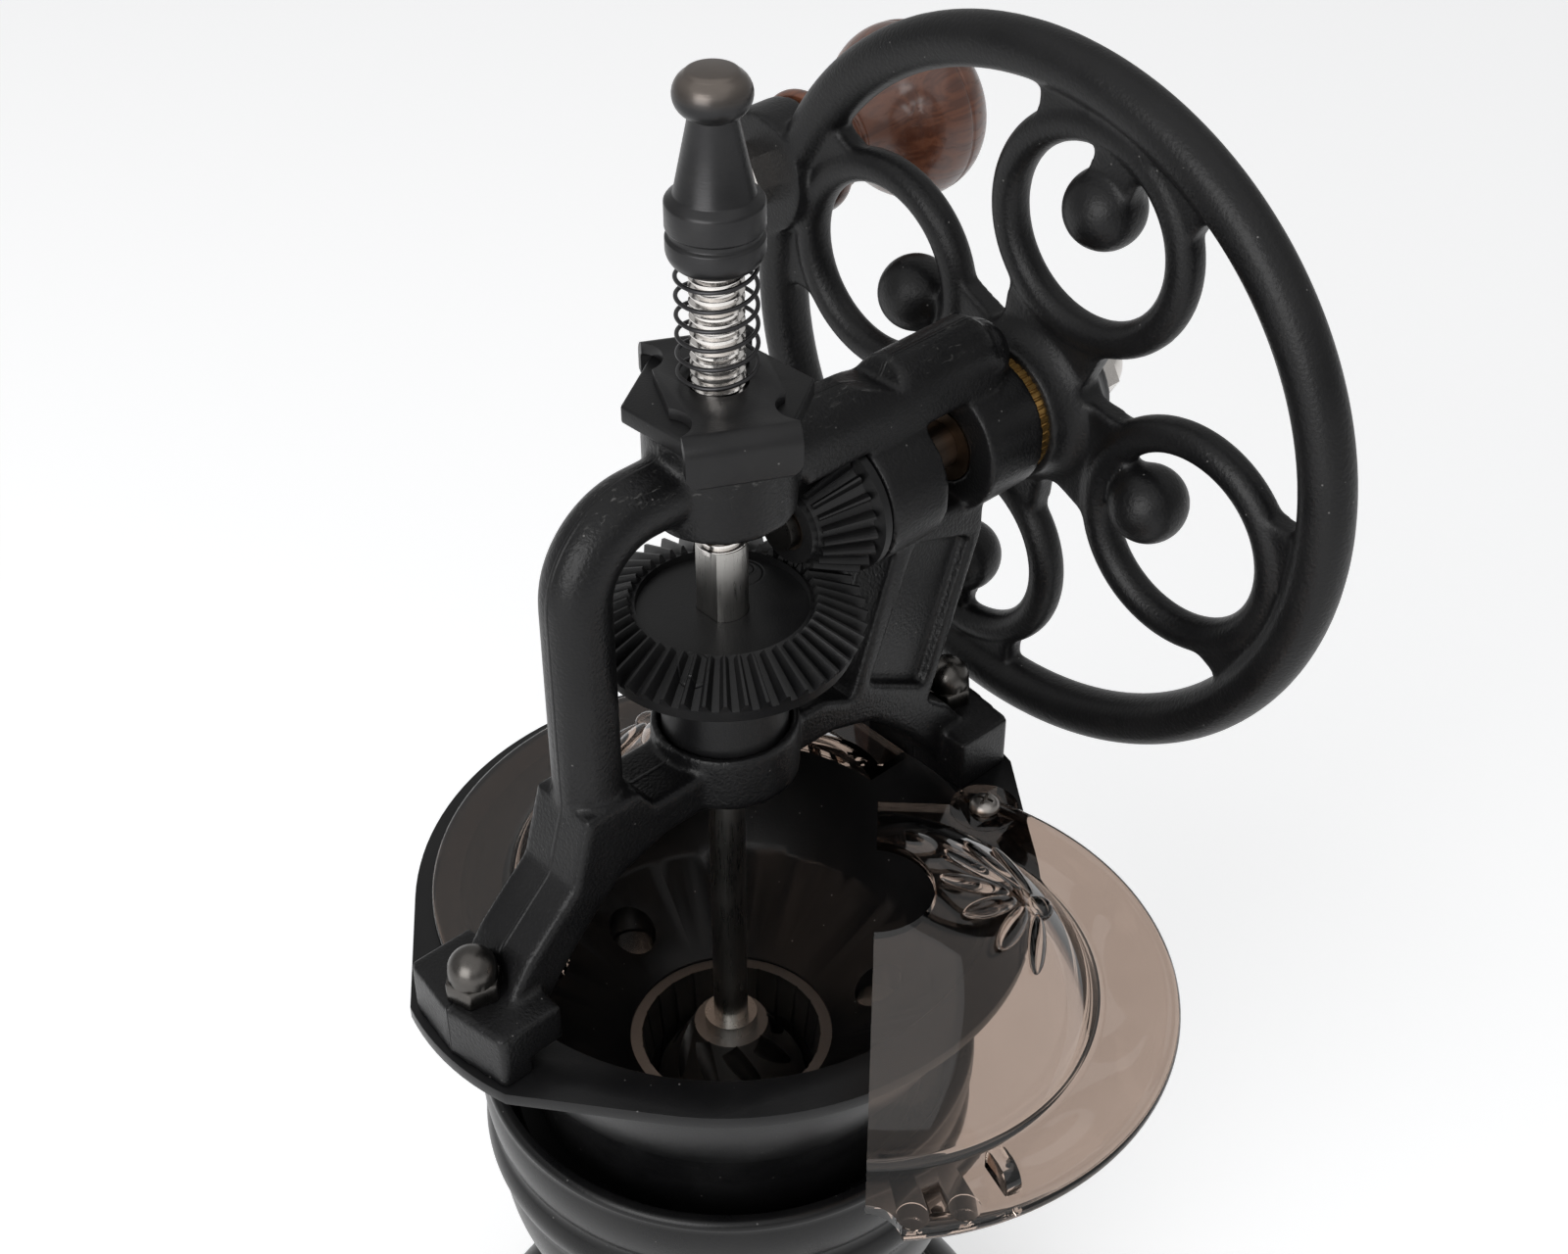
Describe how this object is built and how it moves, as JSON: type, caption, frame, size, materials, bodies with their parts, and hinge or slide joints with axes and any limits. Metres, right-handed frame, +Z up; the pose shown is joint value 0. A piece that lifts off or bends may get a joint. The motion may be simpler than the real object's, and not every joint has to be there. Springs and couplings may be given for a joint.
{
  "type": "hand crank coffee grinder",
  "caption": "Table coffee grinder with a cast arch over a round hopper, an open-work crank wheel driving a bevel gear and mill, swinging lid leaves and a grounds drawer in a turned stand.",
  "frame": {"origin": "centre of the rubber pad's underside, below the spindle", "axes": "+Z up along the spindle, +X along the crank shaft to the wheel, the drawer opens towards -Y"},
  "size_m": [0.1723, 0.1629, 0.3068],
  "materials": {
    "cast_black": "satin black paint with a fine grain",
    "wheel_black": "satin black paint",
    "black_plastic": "satin black moulding",
    "gear_black": "matte black moulding",
    "stand_black": "satin black lacquer over turned wood",
    "smoked": "clear smoked brown",
    "gunmetal": "dark gunmetal",
    "steel": "brushed",
    "dark_nickel": "black nickel plate",
    "nickel": "nickel plate",
    "brass": "plain brass",
    "spring_wire": "oiled black wire",
    "red_wood": "lacquered reddish brown",
    "drawer_wood": "plain oiled wood",
    "burr_steel": "sintered burr",
    "rubber": "matte"
  },
  "bodies": {
    "base": {"rubber_pad": "rubber", "base_plate": "steel", "plate_screws": "nickel", "base_plinth": "stand_black", "base_column": "stand_black", "hopper": "black_plastic", "hopper_screws": "nickel", "outer_burr": "burr_steel", "frame": "cast_black", "frame_bolts": "dark_nickel", "acorn_nuts": "dark_nickel", "upper_bush": "brass", "lower_bush": "brass", "thrust_washer": "brass", "bearing_bushes": "brass", "lid_screws": "nickel"},
    "crank": {"crank_shaft": "steel", "pinion": "gear_black", "pinion_screw": "dark_nickel", "brass_washer": "brass", "wheel": "wheel_black", "wheel_washer": "nickel", "wheel_nut": "nickel", "handle_bolt": "nickel", "handle_nut": "dark_nickel", "handle_washer": "nickel"},
    "grip": {"handle_grip": "red_wood"},
    "gear": {"drive_gear": "gear_black"},
    "adjuster": {"adjust_nut": "black_plastic"},
    "clip": {"lock_clip": "gunmetal", "clip_spring": "spring_wire"},
    "spindle": {"spindle": "steel", "inner_burr": "burr_steel", "burr_nut": "nickel", "adjust_knob": "gunmetal"},
    "front_leaf": {"front_lid": "smoked"},
    "rear_leaf": {"rear_lid": "smoked"},
    "drawer": {"drawer_box": "drawer_wood", "drawer_front": "stand_black", "drawer_knob": "red_wood", "drawer_screw": "nickel"}
  },
  "joints": [
    {"name": "crank_spin", "type": "hinge", "parent": "base", "child": "crank", "pos_m": [0.042, 0, 0.226], "axis": [1, 0, 0], "continuous": true},
    {"name": "grip_spin", "type": "hinge", "parent": "crank", "child": "grip", "pos_m": [0.095, 0.06222, 0.2455], "axis": [1, 0, 0], "continuous": true},
    {"name": "gear_spin", "type": "hinge", "parent": "base", "child": "gear", "pos_m": [0, 0, 0.2], "axis": [0, 0, 1], "continuous": true},
    {"name": "nut_turn", "type": "hinge", "parent": "gear", "child": "adjuster", "pos_m": [0, 0, 0.2545], "axis": [0, 0, 1], "range_deg": [-300, 0]},
    {"name": "spindle_lift", "type": "slide", "parent": "gear", "child": "spindle", "axis": [0, 0, 1], "range_m": [0, 0.00104]},
    {"name": "clip_lift", "type": "slide", "parent": "adjuster", "child": "clip", "axis": [0, 0, 1], "range_m": [0, 0.0065], "stiffness_N_per_m": 250, "springref_m": -0.006, "deforming": ["clip_spring"]},
    {"name": "front_lid_swing", "type": "hinge", "parent": "base", "child": "front_leaf", "pos_m": [0.0423, -0.0192, 0.1613], "axis": [0, 0, 1], "range_deg": [-44, 32]},
    {"name": "rear_lid_swing", "type": "hinge", "parent": "base", "child": "rear_leaf", "pos_m": [0.0423, 0.0192, 0.1613], "axis": [0, 0, 1], "range_deg": [-76, 0]},
    {"name": "drawer_slide", "type": "slide", "parent": "base", "child": "drawer", "axis": [0, -1, 0], "range_m": [0, 0.055]}
  ],
  "couplings": [
    {"joint": "gear_spin", "follows": "crank_spin", "ratio": 0.5},
    {"joint": "nut_turn", "follows": "spindle_lift", "rad_per_m": -5026.5}
  ]
}
